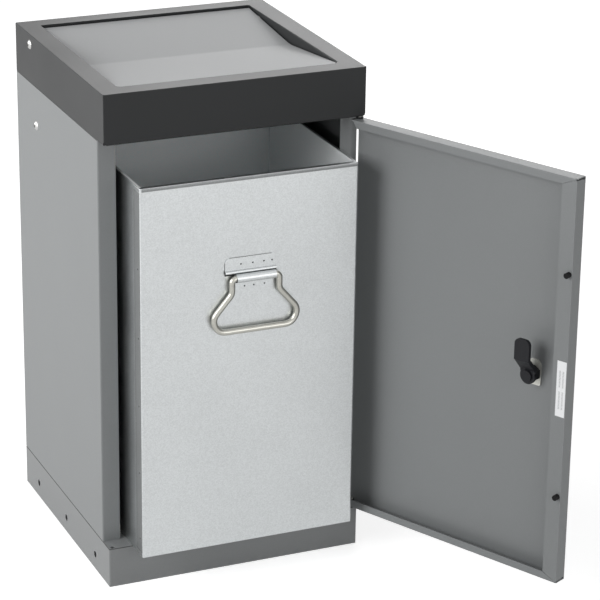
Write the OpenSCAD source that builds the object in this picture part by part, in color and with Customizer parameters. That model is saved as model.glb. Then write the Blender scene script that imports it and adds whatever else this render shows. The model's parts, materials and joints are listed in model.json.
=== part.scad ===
// Cabinet bin: a sheet steel cabinet on a plinth with a hinged front door,
// a pull-out galvanised container with a bail handle and a self-closing throw-in flap.
// X to the right, Y to the back, Z up. The origin is the middle of the plinth's underside.
// The door is drawn open and the container pulled out a little, as the bin stands in use.

/* [Cabinet] */
// Overall width
width = 350; // [310:1:450]
// Overall depth
depth = 350; // [320:1:450]
// Height of the plinth
plinth_h = 54; // [46:1:90]
// Height of the body between plinth and frame
body_h = 546; // [480:1:750]
// Height of the frame
frame_h = 65; // [50:1:90]
// Sheet of the plinth, the body and the door
sheet = 1.2; // [0.8:0.1:1.5]
// Sheet of the frame
frame_sheet = 1.5; // [1:0.1:1.8]
// How far the body's front stands behind the plinth's front
recess = 25; // [24:1:32]
// Width of the body's front returns
return_w = 23.5; // [20:0.5:24]
// Width of the inward flanges that join plinth, body and frame
flange_w = 12; // [11.5:0.1:12]
// Width of the plinth's bottom hem
plinth_hem = 8; // [6:0.5:11]
// Radius of the folded vertical edges
fold_r = 2; // [1.6:0.1:4]

/* [Plinth holes] */
// Radius of the holes in the plinth's sides
side_hole_r = 4.5; // [3:0.5:7]
// Distance between neighbouring side holes
side_hole_pitch = 118; // [60:1:130]
// Height of the side holes above the floor
side_hole_z = 21; // [14:1:32]

/* [Throw-in opening] */
// Width of the frame's top beside the opening
border_side = 27; // [25:0.5:32]
// Width of the frame's top in front of the opening
border_front = 26; // [22:0.5:32]
// Width of the frame's top behind the opening
border_back = 25; // [20:0.5:32]
// Depth of the lip round the opening, from the frame's top
lip_h = 27; // [25:0.5:36]
// Radius of the opening's front corners
opening_r = 8; // [4:0.5:12]
// Radius of the opening's back corners
opening_back_r = 3; // [2:0.5:5]

/* [Flap] */
// Sheet of the flap
flap_t = 1.2; // [0.8:0.1:1.5]
// Gap between the flap and the lip at the sides
flap_side_gap = 1.5; // [1.2:0.1:2.5]
// Gap between the flap and the lip at the front
flap_front_gap = 1.5; // [1.2:0.1:3]
// Gap between the flap and the lip at the back
flap_back_gap = 3; // [2:0.5:5]
// Distance of the flap's crease behind the opening's middle
crease_y = 2.5; // [-20:0.5:20]
// Drop of the crease below the frame's top
crease_drop = 16.5; // [14:0.5:18]
// Drop of the flap's front edge below the frame's top
front_drop = 1; // [1:0.5:3]
// Drop of the flap's back edge below the frame's top
back_drop = 4; // [3:0.5:5]
// Distance of the pivot in front of the opening's back edge
pivot_back = 36.3; // [34:0.1:44]
// Drop of the pivot below the frame's top
pivot_drop = 13.7; // [13.7:0.1:15]
// Depth of the flap's side flanges
flap_flange = 7; // [5:0.5:9]

/* [Flap springs] */
// Wire of the springs
spring_wire = 1.6; // [1.4:0.1:1.6]
// Turns of each spring
spring_turns = 6; // [4:1:6]
// Distance from one turn to the next
spring_pitch = 2.1; // [2.1:0.05:2.2]
// Radius of the spring at the middle of its wire
spring_r = 5; // [4.8:0.1:5]

/* [Door] */
// Opening angle of the door
door_open = 116.5; // [0:0.5:180]
// Depth of the door
door_d = 18; // [16:0.5:20]
// Gap below the door
door_gap = 6; // [4:0.5:8]
// Gap above the door
door_gap_top = 3.5; // [3:0.5:8]
// Gap between the door and the cabinet's side at the free edge
door_free_gap = 1; // [0.5:0.1:2]
// Gap between the door and the cabinet's side at the hinge
door_hinge_gap = 1.5; // [1:0.1:1.5]
// Height of the door's top and bottom lips
lip_top = 10; // [8:0.5:22]
// Width of the door's lip at the free edge
lip_free = 21; // [16:0.5:22]
// Distance of the hinge pins from the cabinet's side
pin_side = 6; // [6:0.1:8]
// Distance of the hinge pins from the cabinet's front
pin_front = 5; // [5:0.1:6.5]
// Radius of the hinge pins
pin_r = 2.5; // [2:0.1:2.5]

/* [Lock] */
// Distance of the lock from the cabinet's free side
lock_side = 60; // [55:0.5:62]
// Height of the lock above the floor
lock_z = 327; // [200:1:450]
// Length of the cam from the lock's axis
cam_len = 52.5; // [46:0.5:53]
// Width of the cam
cam_w = 22; // [16:0.5:24]
// Thickness of the cam's blade
cam_t = 4.5; // [3:0.5:6]

/* [Container] */
// Sheet of the container
container_t = 1; // [0.8:0.1:1.5]
// Headroom between the container's rim and the frame
headroom = 47; // [40:1:60]
// How far the container is pulled out
pull_out = 88; // [0:1:137]
// How far the container stands right of the middle, within its play
container_shift = 3; // [0:0.5:4]
// Play between the container and each floor guide when it is centred
guide_play = 4.5; // [4:0.5:8]
// Width of the rim's flange at the container's front and back
rim_front = 8; // [5:0.5:14]
// Width of the rim's flange at the container's sides
rim_side = 4.5; // [3.5:0.5:8]
// Depth of the lip turned down inside the rim
rim_lip = 5; // [3:0.5:12]
// Radius of the container's folded edges
container_r = 2; // [1.5:0.5:8]

/* [Handle] */
// Radius of the bail's wire
bail_r = 4; // [3:0.1:4.5]
// Half width of the bail at its widest
bail_half = 56.8; // [50:0.1:60]
// Drop of the bail's grip below the bail's axis
bail_drop = 70; // [66:1:90]
// Height of the bail's axis above the plinth
bail_z = 368; // [250:1:380]
// Distance of the handle from the container's middle
handle_shift = 5; // [-20:0.5:20]

/* [Hidden] */
$fn = 64;
eps = 0.01;

// Clearances
run_fit = 0.05;
hair = 0.3;

// Levels and faces
x_side = width/2;
y_front = -depth/2;
y_back = depth/2;
z_floor = plinth_h;
z_frame = plinth_h + body_h;
z_top = z_frame + frame_h;
y_return = y_front + recess;

// Throw-in opening
open_x = x_side - border_side;
open_front = y_front + border_front;
open_back = y_back - border_back;
open_mid = (open_front + open_back)/2;

// Flap
flap_x = open_x - flap_side_gap;
flap_front = open_front + flap_front_gap;
flap_back = open_back - flap_back_gap;
flap_crease = open_mid + crease_y;
z_crease = z_top - crease_drop;
z_flap_front = z_top - front_drop;
z_flap_back = z_top - back_drop;
pivot_y = open_back - pivot_back;
pivot_z = z_top - pivot_drop;
slope_back = (z_flap_back - z_crease)/(flap_back - flap_crease);
slope_front = (z_flap_front - z_crease)/(flap_crease - flap_front);
ear_t = 1.5;
ear_r = 8;
bolt_r = 3;
bush_r = 4.25;
collar_t = flap_side_gap - run_fit;
bend_run = 3.5;

// Springs, from the ear inwards
spring_x = flap_x - ear_t - 3;
spring_in = spring_x - spring_turns*spring_pitch;
nut_t = 5;
nut_af = 10;
nut_x = spring_in - spring_wire/2 - 0.6;

// Stop bar under the flap's back edge, above the springs' back legs
bar_x = spring_in + 6;
bar_d = 13;
bar_bottom = pivot_z - spring_r + spring_wire/2 + hair;

// Floor guides and container
guide_h = 20;
guide_t = 1.5;
guide_x = x_side - return_w - 1;
guide_foot = guide_x + guide_t + 9.5;
container_w = 2*(guide_x - guide_play);
container_h = body_h - headroom;
front_room = 25;
back_room = 9.8;
container_front0 = y_return + front_room;
container_back0 = y_back - sheet - back_room;
container_d = container_back0 - container_front0;
container_y = container_front0 - pull_out;
container_left = container_shift - container_w/2;
rim_r = 2;
base_up = 10;

// Door, drawn closed and turned about the pins
pin_x = x_side - pin_side;
pin_y = y_front + pin_front;
pin_head_r = 3.2;
pin_rise = 12;
bush_sleeve = 3.4;
bush_collar = min(pin_side, pin_front) - 0.2;
door_left = -x_side + door_free_gap;
door_right = x_side - door_hinge_gap;
z_door0 = z_floor + door_gap;
z_door1 = z_frame - door_gap_top;
y_lip = y_front + door_d;
buffer_r = 3.6;
buffer_in = 4.5;
buffer_zs = [z_floor + 0.23*body_h, z_frame - 0.23*body_h];
bush_collar_top = 2;
fold_slot = 1.5;
fold_slot_corner = 2.4;

// Label, from the door's free edge and from the lock's axis
label_in = 0.8;
label_w = 13.7;
label_down = 40;
label_up = 33.5;
label_t = 0.3;

// Lock, along the door's depth from its outer face
lock_x = -x_side + lock_side;
barrel_r = 7.2;
plug_r = 5;
rosette_r = 13;
rosette_t = 2.5;
plate_t = 1.5;
boss_r = 9;
boss_end = 12.5;
plate_x = 10;
plate_up = 18;
plate_down = 16;
cam_gap = 0.3;
cam_face = recess + sheet + 1.3;
stub = 7;
cam_screw_r = 2;
cap_r = 7;
hub_end = boss_end + cam_gap + cam_t;
pad_r = min(7, cam_w/2 - 0.5);
crank0 = cap_r + 0.6;
crank1 = crank0 + 17;

// Side bolts
side_y = y_back - 82;
side_z = z_frame - 53;
dome_r = 6.2;
dome_h = 3;
socket_af = 5;
socket_deep = 1.8;
spacer_r = 9;
side_spacer_x = x_side - 15;

// Bolts between plinth, body and frame
joint_x = x_side - 7.5;
joint_ys = [-0.29*depth, 0.29*depth];
head_r = 5;
head_h = 4;

// Handle on the container
barrel_out = bail_r + 1.5;
bail_y = container_y - barrel_out - 1;
bail_zc = z_floor + bail_z;
leaf_t = 1.2;
leaf_x = container_shift;
handle_x = container_shift + handle_shift;
barrel_half = 26.5;
leaf_half = 34.5;
leaf_up = 26;
leaf_down = 17;
rib_r = 2;
rib_up = 7;
dimple_r = 1.1;

// Rectangle with round corners, exact arcs
module rrect(x0, y0, x1, y1, r) {
    translate([x0 + r, y0]) square([x1 - x0 - 2*r, y1 - y0]);
    translate([x0, y0 + r]) square([x1 - x0, y1 - y0 - 2*r]);
    for (x = [x0 + r, x1 - r], y = [y0 + r, y1 - r]) translate([x, y]) circle(r);
}

// The opening's outline in plan, grown by g; its front corners are rounder than its back ones
module opening_plan(g) {
    x = open_x + g;
    rrect(-x, open_front - g, x, open_mid + opening_r + g, opening_r + g);
    rrect(-x, open_mid - opening_back_r - g, x, open_back + g, opening_back_r + g);
}

// The flap's outline in plan
module flap_plan() {
    r = opening_r - flap_side_gap;
    rrect(-flap_x, flap_front, flap_x, open_mid + r, r);
    rrect(-flap_x, open_mid - 2, flap_x, flap_back, 1);
}

// Box between two corners
module box(a, b) translate(a) cube([b[0] - a[0], b[1] - a[1], b[2] - a[2]]);

// Cylinder along X from x0 to x1
module rod_x(x0, x1, y, z, r) translate([min(x0, x1), y, z]) rotate([0, 90, 0]) cylinder(h = abs(x1 - x0), r = r);

// Cylinder along Y from y0 to y1
module rod_y(y0, y1, x, z, r) translate([x, y0, z]) rotate([-90, 0, 0]) cylinder(h = y1 - y0, r = r);

// Domed head with a hexagon socket and its flat at z = 0
module dome(r, h) {
    ball = (r*r + h*h)/(2*h);
    difference() {
        intersection() {
            translate([0, 0, h - ball]) sphere(ball);
            cylinder(h = 2*h, r = r + 1);
        }
        translate([0, 0, h - socket_deep]) hex(socket_af, h);
    }
}

// Hexagon nut or bore with its flat at z = 0
module hex(af, h) cylinder(h = h, r = af/2/cos(30), $fn = 6);

module nut(af, h, bore) difference() {
    hex(af, h);
    translate([0, 0, -1]) cylinder(h = h + 2, r = bore);
}

// Copies on both sides, the second one mirrored
module both_sides() for (s = [0, 1]) mirror([s, 0, 0]) children();

// The door's pieces, turned open about the pins
module on_door() translate([pin_x, pin_y, 0]) rotate([0, 0, door_open]) translate([-pin_x, -pin_y, 0]) children();

// The lock's pieces, with their axis along Z and the door's outer face at z = 0
module on_lock() on_door() translate([lock_x, y_front, lock_z]) rotate([-90, 0, 0]) children();

module base_plinth() color("dimgray") difference() {
    union() {
        difference() {
            linear_extrude(plinth_h) rrect(-x_side, y_front, x_side, y_back, fold_r);
            translate([0, 0, -1]) linear_extrude(plinth_h - sheet + 1)
                rrect(-x_side + sheet, y_front + sheet, x_side - sheet, y_back - sheet, fold_r - sheet/2);
        }
        difference() {
            linear_extrude(sheet) rrect(-x_side + sheet/2, y_front + sheet/2, x_side - sheet/2, y_back - sheet/2, fold_r);
            translate([0, 0, -1]) linear_extrude(sheet + 2)
                rrect(-x_side + plinth_hem, y_front + plinth_hem, x_side - plinth_hem, y_back - plinth_hem, fold_r);
        }
    }
    for (k = [-1, 0, 1]) rod_x(-x_side - 1, x_side + 1, k*side_hole_pitch, side_hole_z, side_hole_r);
    for (s = [-1, 1]) {
        translate([s*pin_x, pin_y, plinth_h - 10]) cylinder(h = 20, r = pin_r + run_fit);
        for (y = joint_ys) translate([s*joint_x, y, plinth_h - 10]) cylinder(h = 20, r = bolt_r + hair);
    }
}

module body_shell() color("gray") difference() {
    union() {
        translate([0, 0, z_floor]) linear_extrude(body_h) difference() {
            rrect(-x_side, y_return, x_side, y_back, fold_r);
            rrect(-x_side + sheet, y_return + sheet, x_side - sheet, y_back - sheet, fold_r - sheet/2);
            translate([-x_side + return_w, y_return - 1]) square([2*(x_side - return_w), 2 + sheet]);
        }
        both_sides() {
            box([x_side - flange_w - sheet, y_return + sheet + hair, z_floor],
                [x_side - sheet/2, y_back - sheet - 3, z_floor + sheet]);
            box([x_side - flange_w - sheet, y_return + sheet + hair, z_frame - sheet],
                [x_side - sheet/2, y_back - sheet - 3, z_frame]);
        }
    }
    rod_x(-x_side - 1, x_side + 1, side_y, side_z, bolt_r + hair);
    for (s = [-1, 1], y = joint_ys, z = [z_floor, z_frame])
        translate([s*joint_x, y, z - 10]) cylinder(h = 20, r = bolt_r + hair);
}

module top_frame() color("darkslategray") difference() {
    union() {
        translate([0, 0, z_frame]) linear_extrude(frame_h) difference() {
            rrect(-x_side, y_front, x_side, y_back, fold_r);
            rrect(-x_side + frame_sheet, y_front + frame_sheet, x_side - frame_sheet, y_back - frame_sheet,
                fold_r - frame_sheet/2);
        }
        translate([0, 0, z_top - frame_sheet]) linear_extrude(frame_sheet) difference() {
            rrect(-x_side, y_front, x_side, y_back, fold_r);
            opening_plan(0);
        }
        translate([0, 0, z_top - lip_h]) linear_extrude(lip_h - frame_sheet/2) difference() {
            opening_plan(frame_sheet);
            opening_plan(0);
        }
        translate([0, 0, z_frame]) linear_extrude(frame_sheet) difference() {
            rrect(-x_side + frame_sheet/2, y_front + frame_sheet/2, x_side - frame_sheet/2, y_back - frame_sheet/2,
                fold_r);
            rrect(-x_side + flange_w + sheet, y_front + border_front, x_side - flange_w - sheet,
                y_back - flange_w - sheet, opening_back_r);
        }
    }
    rod_x(-x_side - 1, x_side + 1, pivot_y, pivot_z, bolt_r + hair);
    translate([pin_x, pin_y, z_frame - 5]) cylinder(h = 10, r = pin_r + run_fit);
    for (s = [-1, 1], y = joint_ys) translate([s*joint_x, y, z_frame - 5]) cylinder(h = 10, r = bolt_r + hair);
    // lower front corners, cut where the skirt is folded
    both_sides() translate([x_side, y_front, z_frame]) rotate([0, 45, 0]) cube([5.5, 6, 5.5], center = true);
}

module guide() {
    y0 = y_return + sheet + 1;
    y1 = container_back0;
    box([guide_x, y0, z_floor], [guide_x + guide_t, y1, z_floor + guide_h]);
    box([guide_x, y0, z_floor], [guide_foot, y1, z_floor + guide_t]);
}

module guide_left() color("silver") mirror([1, 0, 0]) guide();

module guide_right() color("silver") guide();

module lower_hinge_pin() color("silver") translate([pin_x, pin_y, 0]) {
    translate([0, 0, z_floor - sheet - 1.5]) cylinder(h = 1.5, r = pin_head_r);
    translate([0, 0, z_floor - sheet - eps]) cylinder(h = sheet + pin_rise, r = pin_r);
}

module upper_hinge_pin() color("silver") translate([pin_x, pin_y, 0]) {
    translate([0, 0, z_frame + frame_sheet]) cylinder(h = 1.5, r = pin_head_r);
    translate([0, 0, z_frame - pin_rise]) cylinder(h = pin_rise + frame_sheet + eps, r = pin_r);
}

// Round-headed bolts and their nuts, through the two flanges at level z
module joint_bolts(top, bottom) for (s = [-1, 1], y = joint_ys) translate([s*joint_x, y, 0]) {
    translate([0, 0, top]) cylinder(h = head_h, r = head_r);
    translate([0, 0, bottom - nut_t - 1]) cylinder(h = top - bottom + nut_t + 1 + eps, r = bolt_r);
}

module joint_nuts(bottom) for (s = [-1, 1], y = joint_ys)
    translate([s*joint_x, y, bottom - nut_t]) nut(nut_af, nut_t, bolt_r + run_fit);

module plinth_bolts() color("silver") joint_bolts(z_floor + sheet, z_floor - sheet);

module plinth_nuts() color("silver") joint_nuts(z_floor - sheet);

module frame_bolts() color("silver") joint_bolts(z_frame + frame_sheet, z_frame - sheet);

module frame_nuts() color("silver") joint_nuts(z_frame - sheet);

module side_bolts() color("lightgray") both_sides() {
    translate([x_side, side_y, side_z]) rotate([0, 90, 0]) dome(dome_r, dome_h);
    rod_x(side_spacer_x - nut_t - 0.5, x_side + eps, side_y, side_z, bolt_r);
}

module side_spacers() color("black") both_sides() difference() {
    rod_x(side_spacer_x, x_side - sheet, side_y, side_z, spacer_r);
    rod_x(side_spacer_x - 1, x_side, side_y, side_z, bolt_r + run_fit);
}

module side_nuts() color("silver") both_sides()
    translate([side_spacer_x - nut_t, side_y, side_z]) rotate([0, 90, 0]) nut(nut_af, nut_t, bolt_r + run_fit);

module flap_pivot_bolts() color("lightgray") both_sides() {
    translate([x_side, pivot_y, pivot_z]) rotate([0, 90, 0]) dome(dome_r, dome_h);
    rod_x(nut_x - nut_t - 0.5, x_side + eps, pivot_y, pivot_z, bolt_r);
}

module flap_spacers() color("silver") both_sides() difference() {
    rod_x(open_x + frame_sheet, x_side - frame_sheet, pivot_y, pivot_z, bolt_r + 3);
    rod_x(open_x, x_side, pivot_y, pivot_z, bolt_r + run_fit);
}

module flap_nuts() color("silver") both_sides()
    translate([nut_x - nut_t, pivot_y, pivot_z]) rotate([0, 90, 0]) nut(nut_af, nut_t, bolt_r + run_fit);

// Height of the flap's middle surface at y, with a soft bend at the crease
function flap_z(y) =
    let (d = y - flap_crease, s = (d + bend_run)/(2*bend_run))
    d <= -bend_run ? z_crease - slope_front*d
    : d >= bend_run ? z_crease + slope_back*d
    : z_crease + slope_front*bend_run*(1 - s)*(1 - s) + slope_back*bend_run*s*s;

flap_ys = concat([flap_front], [for (k = [0:8]) flap_crease - bend_run + k*bend_run/4], [flap_back]);

// Strip of the flap's section from lo to hi, measured from its middle surface
module flap_strip(ys, lo, hi) polygon(concat([for (y = ys) [y, flap_z(y) + hi]],
    [for (k = [len(ys) - 1:-1:0]) [ys[k], flap_z(ys[k]) + lo]]));

// Section in Y and Z drawn out along X from x0 to x1
module along_x(x0, x1) translate([x0, 0, 0]) rotate([90, 0, 90]) linear_extrude(x1 - x0) children();

module flap_panel() color("lightgray") difference() {
    union() {
        intersection() {
            along_x(-flap_x, flap_x) flap_strip(flap_ys, -flap_t/2, flap_t/2);
            translate([0, 0, z_crease - 20]) linear_extrude(60) flap_plan();
        }
        both_sides() {
            along_x(flap_x - ear_t, flap_x)
                flap_strip(concat([flap_front + opening_r], [for (k = [0:8]) flap_crease - bend_run + k*bend_run/4],
                    [flap_back - 5]), -flap_flange, 0);
            along_x(flap_x - ear_t, flap_x) {
                translate([pivot_y, pivot_z]) circle(ear_r);
                translate([pivot_y - ear_r, pivot_z]) square([2*ear_r, flap_z(pivot_y - ear_r) - pivot_z]);
            }
        }
    }
    rod_x(-flap_x - 1, flap_x + 1, pivot_y, pivot_z, bush_r);
}

module flap_bushes() color("ivory") both_sides() difference() {
    union() {
        rod_x(flap_x, flap_x + collar_t, pivot_y, pivot_z, ear_r - 1);
        rod_x(flap_x - ear_t - 0.5, flap_x + eps, pivot_y, pivot_z, bush_r);
    }
    rod_x(flap_x - 5, flap_x + 5, pivot_y, pivot_z, bolt_r + run_fit);
}

// Rubber-topped bar under the flap's back edge: the flap rests on it and the springs' legs push on it
module flap_stop_bar() color("black") along_x(-bar_x, bar_x) polygon([
    [open_back, bar_bottom], [open_back - bar_d, bar_bottom],
    [open_back - bar_d, flap_z(open_back - bar_d) - flap_t/2 - hair],
    [flap_back, flap_z(flap_back) - flap_t/2 - hair],
    [open_back, flap_z(flap_back) - flap_t/2 - hair]]);

// Spring: front leg under the flap, turns round the pivot bolt, back leg under the stop bar
spring_steps = 12;
leg_reach = 42;
function coil_point(k) = let (a = -90 + 360*k/spring_steps)
    [spring_x - spring_pitch*k/spring_steps, pivot_y + spring_r*cos(a), pivot_z + spring_r*sin(a)];
function leg_z(y) = flap_z(y) - flap_t/2 - spring_wire/2 - hair;
spring_path = concat(
    [[spring_x, pivot_y - leg_reach, leg_z(pivot_y - leg_reach)],
     [spring_x, pivot_y - leg_reach + 8, leg_z(pivot_y - leg_reach + 8) - 0.4]],
    [for (k = [0:spring_turns*spring_steps]) coil_point(k)],
    [[spring_in, open_back - 4, pivot_z - spring_r]]);
coil_points = [for (k = [0:spring_turns*spring_steps]) coil_point(k)];
spring_gap = min([for (i = [0:len(coil_points) - 1]) for (j = [i + 6:1:len(coil_points) - 1])
    norm(coil_points[i] - coil_points[j])]) - spring_wire;
echo(least_gap_between_spring_turns = spring_gap);

// Round tube swept along a path, as one closed mesh
module sweep(path, r, sides) {
    n = len(path);
    function unit(v) = v/norm(v);
    function dir(i) = unit(path[min(i + 1, n - 1)] - path[max(i - 1, 0)]);
    function side(i) = unit(cross(dir(i), [1, 0, 0.02]));
    pts = [for (i = [0:n - 1]) let (d = dir(i), u = side(i), v = cross(d, u))
        for (k = [0:sides - 1]) path[i] + r*(cos(360*k/sides)*u + sin(360*k/sides)*v)];
    faces = concat([[for (k = [0:sides - 1]) k]], [[for (k = [sides - 1:-1:0]) (n - 1)*sides + k]],
        [for (i = [0:n - 2]) for (k = [0:sides - 1])
            let (a = i*sides + k, b = i*sides + (k + 1)%sides) [a, a + sides, b + sides]],
        [for (i = [0:n - 2]) for (k = [0:sides - 1])
            let (a = i*sides + k, b = i*sides + (k + 1)%sides) [a, b + sides, b]]);
    polyhedron(pts, faces);
}

module flap_springs() color("silver") both_sides() sweep(spring_path, spring_wire/2, 6);

module door_panel() color("gray") on_door() difference() {
    union() {
        box([door_left, y_front, z_door0], [door_right, y_front + sheet, z_door1]);
        box([door_left, y_front, z_door0], [door_left + sheet, y_lip, z_door1]);
        for (z = [z_door0, z_door1 - sheet]) box([door_left, y_front, z], [door_right, y_lip, z + sheet]);
        // lips, with mitred ends at the hinge
        translate([0, y_lip, 0]) rotate([90, 0, 0]) linear_extrude(sheet) {
            translate([door_left, z_door0]) square([lip_free, z_door1 - z_door0]);
            polygon([[door_left, z_door0], [pin_x + 1, z_door0], [pin_x - 6, z_door0 + lip_top], [door_left, z_door0 + lip_top]]);
            polygon([[door_left, z_door1], [pin_x + 1, z_door1], [pin_x - 6, z_door1 - lip_top], [door_left, z_door1 - lip_top]]);
        }
    }
    // mitre seams in the lips
    for (m = [[z_door0, 1], [z_door1, -1]]) translate([0, y_lip + 1, 0]) rotate([90, 0, 0]) linear_extrude(sheet + 1.6)
        polygon([[door_left + sheet, m[0] + m[1]*sheet], [door_left + sheet + 0.5, m[0] + m[1]*sheet],
            [door_left + lip_free + 0.4, m[0] + m[1]*(lip_top - 0.1)],
            [door_left + lip_free + 0.4, m[0] + m[1]*(lip_top + 0.4)], [door_left + lip_free - 0.1, m[0] + m[1]*(lip_top + 0.4)]]);
    // slots between the top and bottom flanges and the free edge's wall, wider at the outer corner
    for (m = [[z_door0 + sheet, 0], [z_door1 - sheet, 1]]) translate([0, 0, m[0]]) mirror([0, 0, m[1]]) {
        box([door_left - 1, y_front + sheet, 0], [door_left + sheet, y_lip + 1, fold_slot]);
        box([door_left - 1, y_front + sheet, 0], [door_left + sheet, y_front + sheet + 5, fold_slot_corner]);
    }
    // relief notches where three folds meet
    for (z = [z_door0, z_door1]) translate([door_left, y_lip, z]) cube([3, 2*sheet, 3], center = true);
    for (z = [z_door0, z_door1]) translate([pin_x, pin_y, z - 10]) cylinder(h = 20, r = bush_sleeve + hair/3);
    rod_y(y_front - 1, y_front + 5, lock_x, lock_z, barrel_r + hair);
    for (z = buffer_zs) rod_y(y_lip - 5, y_lip + 5, door_left + buffer_in, z, 2 + run_fit);
}

// Bearing bush: collar from z = 0 up, sleeve into the door's flange below or above
module hinge_bush(collar) color("black") difference() {
    union() {
        cylinder(h = collar, r = bush_collar);
        translate([0, 0, collar - eps]) cylinder(h = sheet + 3, r = bush_sleeve);
    }
    translate([0, 0, -1]) cylinder(h = collar + sheet + 6, r = pin_r + run_fit);
}

module lower_hinge_bush() on_door() translate([pin_x, pin_y, z_floor]) hinge_bush(door_gap);

module upper_hinge_bush() on_door() translate([pin_x, pin_y, z_door1 + bush_collar_top]) mirror([0, 0, 1])
    hinge_bush(bush_collar_top);

module door_buffers() color("black") on_door() for (z = buffer_zs) {
    rod_y(y_lip, y_return - hair, door_left + buffer_in, z, buffer_r);
    rod_y(y_lip - sheet - 1, y_lip + eps, door_left + buffer_in, z, 2);
    rod_y(y_lip - sheet - 2, y_lip - sheet, door_left + buffer_in, z, 2.8);
}

module door_label() color("white") on_door()
    box([door_left + label_in, y_lip, lock_z - label_down],
        [door_left + label_in + label_w, y_lip + label_t, lock_z + label_up]);

module lock_housing() color("silver") on_lock() difference() {
    union() {
        translate([0, 0, -rosette_t]) cylinder(h = rosette_t, r = rosette_r);
        translate([0, 0, -eps]) cylinder(h = boss_end, r = barrel_r);
    }
    translate([0, 0, -10]) cylinder(h = 50, r = plug_r + run_fit);
}

module lock_plate() color("silver") on_lock() translate([0, 0, sheet]) difference() {
    linear_extrude(plate_t) {
        rrect(-plate_x, -plate_up, plate_x, 0, 8);
        rrect(-plate_x, -10, plate_x, plate_down, 3);
    }
    translate([0, 0, -1]) cylinder(h = 10, r = barrel_r + hair);
}

module lock_nut() color("black") on_lock() translate([0, 0, sheet + plate_t]) difference() {
    rotate([0, 0, 30]) hex(2*boss_r, boss_end - sheet - plate_t - 0.5);
    translate([0, 0, -1]) cylinder(h = 50, r = barrel_r + hair);
}

module key_plug() color("silver") on_lock() difference() {
    union() {
        translate([0, 0, -rosette_t]) cylinder(h = rosette_t + boss_end + cam_gap, r = plug_r);
        translate([-stub/2, -stub/2, boss_end]) cube([stub, stub, hub_end - boss_end - 0.5]);
    }
    translate([-0.6, -3.2, -rosette_t - 1]) cube([1.2, 6.4, 9]);
    translate([0, 0, boss_end - 6]) cylinder(h = 50, r = cam_screw_r + run_fit);
}

// Cam's outline in plan: round hub and a pad with round corners, pointing up
module cam_plan() {
    circle(cam_w/2);
    rrect(-cam_w/2, -cam_len, cam_w/2, 0, pad_r);
}

// Cranked lever: the hub sits on the plug's square, the pad runs up behind the body's return
module lock_cam() color("black") on_lock() difference() {
    intersection() {
        along_x(-cam_w/2, cam_w/2) polygon([[cam_w, boss_end + cam_gap], [-crank0 - 2, boss_end + cam_gap],
            [-crank1 - 2, cam_face], [-cam_len - 1, cam_face], [-cam_len - 1, cam_face + cam_t],
            [-crank1, cam_face + cam_t], [-crank0, hub_end], [cam_w, hub_end]]);
        linear_extrude(60) cam_plan();
    }
    translate([-stub/2, -stub/2, boss_end - 1]) cube([stub, stub, 50]);
}

module cam_screw() color("black") on_lock() {
    translate([0, 0, hub_end]) cylinder(h = 2.5, r = cap_r);
    translate([0, 0, boss_end - 5]) cylinder(h = hub_end - boss_end + 5 + eps, r = cam_screw_r);
}

// Places a piece drawn from the container's front left lower corner
module in_container() translate([container_left, container_y, z_floor]) children();

// Container's outline in plan, drawn in by dx at the sides and dy at the front and back
module rim_plan(dx, dy, r) rrect(dx, dy, container_w - dx, container_d - dy, r);

module container_shell() color("lightgray") in_container() {
    linear_extrude(container_h) difference() {
        rrect(0, 0, container_w, container_d, container_r);
        rrect(container_t, container_t, container_w - container_t, container_d - container_t, container_r - container_t);
    }
    // flange turned inwards round the rim
    translate([0, 0, container_h - container_t]) linear_extrude(container_t) difference() {
        rim_plan(container_t/2, container_t/2, container_r - container_t/2);
        rim_plan(rim_side - container_t/2, rim_front - container_t/2, rim_r + container_t/2);
    }
    // its lip turned down
    translate([0, 0, container_h - rim_lip]) linear_extrude(rim_lip) difference() {
        rim_plan(rim_side - container_t, rim_front - container_t, rim_r + container_t);
        rim_plan(rim_side, rim_front, rim_r);
    }
}

module container_base() color("lightgray") in_container() difference() {
    linear_extrude(base_up) rrect(container_t, container_t, container_w - container_t, container_d - container_t,
        container_r - container_t + 0.8);
    translate([0, 0, container_t]) linear_extrude(base_up) rrect(2*container_t, 2*container_t,
        container_w - 2*container_t, container_d - 2*container_t, container_r - container_t + 0.4);
}

// Hinge bracket: upper leaf, rib, barrel round the bail and lower leaf, from one sheet
module handle_bracket() color("lightgray") difference() {
    union() {
        translate([0, container_y, 0]) rotate([90, 0, 0]) linear_extrude(leaf_t) {
            translate([leaf_x - leaf_half, bail_zc + 3]) square([2*leaf_half, leaf_up - 9]);
            translate([leaf_x - leaf_half + 6, bail_zc + 3]) square([2*leaf_half - 12, leaf_up - 3]);
            for (s = [-1, 1]) translate([leaf_x + s*(leaf_half - 6), bail_zc + leaf_up - 6]) circle(6);
            translate([handle_x - barrel_half, bail_zc - leaf_down]) square([2*barrel_half, leaf_down + 8]);
        }
        rod_x(leaf_x - leaf_half, leaf_x + leaf_half, container_y - rib_r, bail_zc + rib_up, rib_r);
        rod_x(handle_x - barrel_half, handle_x + barrel_half, bail_y, bail_zc, barrel_out);
        box([handle_x - barrel_half, container_y - rib_r - 1, bail_zc + 1],
            [handle_x + barrel_half, container_y - leaf_t/2, bail_zc + rib_up]);
    }
    rod_x(handle_x - 60, handle_x + 60, bail_y, bail_zc, bail_r + run_fit);
    for (p = concat([for (x = [-13, 3, 18, 29]) [leaf_x + x, 17]], [for (x = [-13, -0.5, 14]) [handle_x + x, -13]]))
        rod_y(container_y - leaf_t - 1, container_y - leaf_t + 0.4, p[0], bail_zc + p[1], dimple_r);
}

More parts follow.
